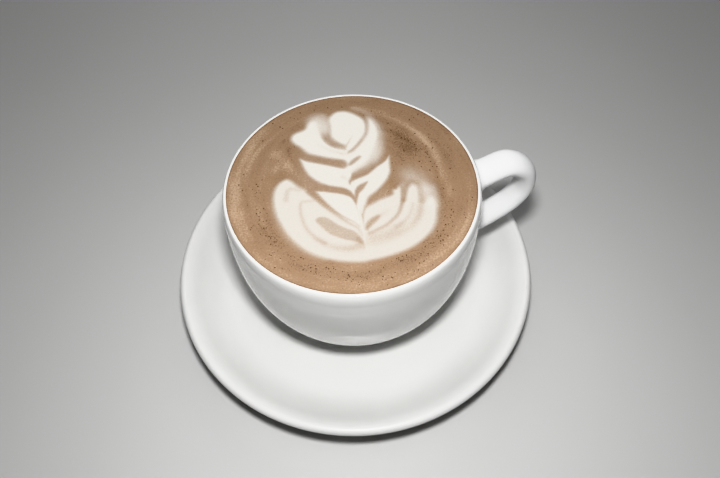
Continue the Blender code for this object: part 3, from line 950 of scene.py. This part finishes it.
def streakPlace(tree, place, slow, fast):
    # coordinates that change slowly across the drink and fast along its radius, so noise runs in rings
    flat = node(tree, "ShaderNodeVectorMath", {"operation": "MULTIPLY"}, s0=place, s1=(1.0, 1.0, 0.0))
    radius = node(tree, "ShaderNodeVectorMath", {"operation": "LENGTH"}, s0=flat.outputs[0]).outputs["Value"]
    x, y = node(tree, "ShaderNodeSeparateXYZ", s0=place).outputs[:2]
    return node(tree, "ShaderNodeCombineXYZ", X=mathNode(tree, "MULTIPLY", x, slow),
                Y=mathNode(tree, "MULTIPLY", y, slow), Z=mathNode(tree, "MULTIPLY", radius, fast)).outputs[0]


def cremaColour(tree, place, grain, look):
    tone = node(tree, "ShaderNodeAttribute", {"attribute_name": "shade"}).outputs["Fac"]
    slow, fast, streakStrength = look["streak"]
    cloud = noiseNode(tree, place, look["cloud"][0], 4.0)
    streak = noiseNode(tree, streakPlace(tree, place, slow, fast), 1.0, 3.0)
    for pattern, strength in ((cloud, look["cloud"][1]), (streak, streakStrength), (grain, look["grain"][1])):
        tone = mathNode(tree, "MULTIPLY_ADD", mathNode(tree, "SUBTRACT", pattern, 0.5), strength, tone)
    level = rangeNode(tree, tone, 0.0, 1.0, -look["cremaRange"], look["cremaRange"])
    shades = [(0.0, look["cremaDark"]), (0.5, look["cremaMiddle"]), (1.0, look["cremaPale"])]
    return rampNode(tree, level, shades)


def milkColour(tree, place, grain, look):
    foam = rampNode(tree, grain, [(0.35, look["milkShade"]), (0.6, look["milkWhite"])])
    # painted light and shade: the milk is darkened towards the base and whitened towards the heart against
    # the key light's falloff, and partly for thinner milk at the base
    along = node(tree, "ShaderNodeSeparateXYZ", s0=place).outputs[1]
    nearest, furthest, low, high = look["milkFalloffAndThinning"]
    tint = rangeNode(tree, along, low, high, nearest, furthest)
    return node(tree, "ShaderNodeVectorMath", {"operation": "SCALE"}, s0=foam, Scale=tint).outputs[0]


def drinkMaterial(look):
    made, tree, shader, place = newMaterial("crema and milk", IOR=look["ior"])
    milk = node(tree, "ShaderNodeAttribute", {"attribute_name": "milk"}).outputs["Fac"]
    share = mathNode(tree, "POWER", milk, look["blend"])
    grain = noiseNode(tree, place, look["grain"][0], 3.0)
    crema = cremaColour(tree, place, grain, look)
    foam = milkColour(tree, place, grain, look)
    colour = node(tree, "ShaderNodeMix", {"data_type": "RGBA"}, s0=share, s6=crema, s7=foam).outputs[2]
    cellScale, cellDepth, cellStrength = look["cells"]
    cells = node(tree, "ShaderNodeTexVoronoi", Vector=place, Scale=cellScale).outputs["Distance"]
    feed(shader, Base_Color=colour, Roughness=rangeNode(tree, milk, *look["rough"]),
         Normal=bumpNode(tree, cells, cellDepth, cellStrength))
    return made


drink = finishMesh("drinkSurface", drinkMesh(drinkMake), drinkMaterial(drinkLook))
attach(drink, "root")
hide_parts("coffee", "milk_figure")
print("drink made:", len(drink.data.polygons), "faces")


# bubbles in the crema, scattered where the drink's froth attribute is high

bubbleMake = {
    # piece: most a square metre, least distance, smallest and largest radius, flatness, seed
    "openBubbles": (1.1e6, 0.00036, 0.00009, 0.00032, 0.35, 7),
    "frothBeads": (4.5e6, 0.00024, 0.00006, 0.00014, 0.5, 19),
}
bubbleLook = {
    # the two colours that the piece runs between, roughness
    "openBubbles": ((0.120, 0.076, 0.047), (0.19, 0.128, 0.083), 0.16),
    "frothBeads": ((0.30, 0.215, 0.145), (0.44, 0.335, 0.24), 0.32),
}
bubbleInputs = ("Most", "Apart", "Smallest", "Largest", "Flatness", "Seed")


def bubbleTree():
    fewLarge = 2.4               # power that leaves most bubbles near the smallest size
    kinds = {key: "Int" if key == "Seed" else "Float" for key in bubbleInputs}
    tree, given = newTree("bubbles", **kinds, Skin="Material")
    froth = node(tree, "GeometryNodeInputNamedAttribute", {"data_type": "FLOAT"}, Name="froth")
    points = node(tree, "GeometryNodeDistributePointsOnFaces", {"distribute_method": "POISSON"},
                  Mesh=given["Geometry"], Distance_Min=given["Apart"], Density_Max=given["Most"],
                  Density_Factor=froth.outputs["Attribute"], Seed=given["Seed"]).outputs["Points"]
    chance = node(tree, "FunctionNodeRandomValue", {"data_type": "FLOAT"}, s2=0.0, s3=1.0, s8=given["Seed"])
    share = mathNode(tree, "POWER", chance.outputs[1], fewLarge)
    size = rangeNode(tree, share, given["Smallest"], given["Largest"])
    ball = node(tree, "GeometryNodeMeshUVSphere", Segments=9, Rings=5, Radius=1.0).outputs["Mesh"]
    squash = node(tree, "ShaderNodeCombineXYZ", X=1.0, Y=1.0, Z=given["Flatness"]).outputs[0]
    flat = node(tree, "GeometryNodeTransform", Geometry=ball, Scale=squash).outputs[0]
    placed = node(tree, "GeometryNodeInstanceOnPoints", Points=points, Instance=flat, Scale=size).outputs[0]
    return endTree(tree, placed, given["Skin"])


def bubbleMaterial(name, dark, pale, rough):
    mottleScale = 700.0
    made, tree, shader, place = newMaterial(name, Roughness=rough, IOR=drinkLook["ior"])
    mottle = noiseNode(tree, place, mottleScale, 2.0)
    feed(shader, Base_Color=rampNode(tree, mottle, [(0.35, dark), (0.65, pale)]))
    return made


def scatterBubbles(name, tree):
    inputs = dict(zip(bubbleInputs, bubbleMake[name]), Skin=bubbleMaterial(name, *bubbleLook[name]))
    piece = builtPiece(name, drink.data.copy(), tree, inputs)
    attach(piece, "root")
    print(name, "made:", len(piece.data.polygons), "faces")


bubbles = bubbleTree()
for name in bubbleMake:
    scatterBubbles(name, bubbles)


# floor, light and camera

floorMake = {
    "half": 3.0,
    "under": 0.0001,             # the floor lies this far under the foot ring
    "colour": (0.62, 0.62, 0.615),
    "shade": (0.60, 0.60, 0.595),
    "shadeScale": 3.0,
    "rough": 0.6,
}


def floorMaterial(make):
    made, tree, shader, place = newMaterial("pale floor", Roughness=make["rough"])
    cloud = noiseNode(tree, place, make["shadeScale"], 4.0)
    feed(shader, Base_Color=rampNode(tree, cloud, [(0.3, make["shade"]), (0.7, make["colour"])]))
    return made


def makeFloor(make):
    size, z = make["half"], -make["under"]
    corners = [(-size, -size, z), (size, -size, z), (size, size, z), (-size, size, z)]
    mesh = bpy.data.meshes.new("floor")
    mesh.from_pydata(corners, [], [(0, 1, 2, 3)])
    return finishMesh("studioFloor", mesh, floorMaterial(make))


makeFloor(floorMake)

view = {
    "place": Vector((-0.0227, -0.1401, 0.2469)),
    "target": Vector((-0.0002, -0.0153, 0.058)),
    "roll": math.radians(-1.57),
    "lens": 30.0,
    "frame": 36.0,               # width of the frame behind the lens
    "nearest": 0.01,
}
lights = {
    "keyOverLens": 0.044,        # the key light stands this far over the lens
    "keySize": 0.03,
    "keyPower": 0.50,
    "topPlace": Vector((-0.05, 0.05, 1.1)),
    "topSize": 0.7,
    "topPower": 0.8,
    "backPlace": Vector((0.1, 0.85, 0.5)),
    "backSize": 0.8,
    "backPower": 1.4,
    "fill": (0.11, 0.11, 0.11),
}


def lookAt(place, target):
    return Matrix.Translation(place) @ (target - place).to_track_quat("-Z", "Y").to_matrix().to_4x4()


def makeCamera(make):
    data = bpy.data.cameras.new("camera")
    data.lens = make["lens"]
    data.sensor_width = make["frame"]
    data.clip_start = make["nearest"]
    made = addObject("camera", data)
    made.matrix_world = lookAt(make["place"], make["target"]) @ Matrix.Rotation(make["roll"], 4, "Z")
    return made


def areaLight(name, place, size, power):
    data = bpy.data.lights.new(name, "AREA")
    data.shape = "DISK"
    data.size = size
    data.energy = power
    addObject(name, data).matrix_world = lookAt(place, view["target"])


def makeLights(make, camera):
    over = camera.matrix_world.to_3x3() @ Vector((0, make["keyOverLens"], 0))
    areaLight("key", view["place"] + over, make["keySize"], make["keyPower"])
    areaLight("top", make["topPlace"], make["topSize"], make["topPower"])
    areaLight("back", make["backPlace"], make["backSize"], make["backPower"])
    world = bpy.data.worlds.new("studio")
    world.use_nodes = True
    world.node_tree.nodes["Background"].inputs["Color"].default_value = (*make["fill"], 1)
    bpy.context.scene.world = world


camera = makeCamera(view)
bpy.context.scene.camera = camera
makeLights(lights, camera)
bpy.context.scene.view_settings.view_transform = "Khronos PBR Neutral"
bpy.context.scene.view_settings.look = "High Contrast"
print("floor, light and camera set")
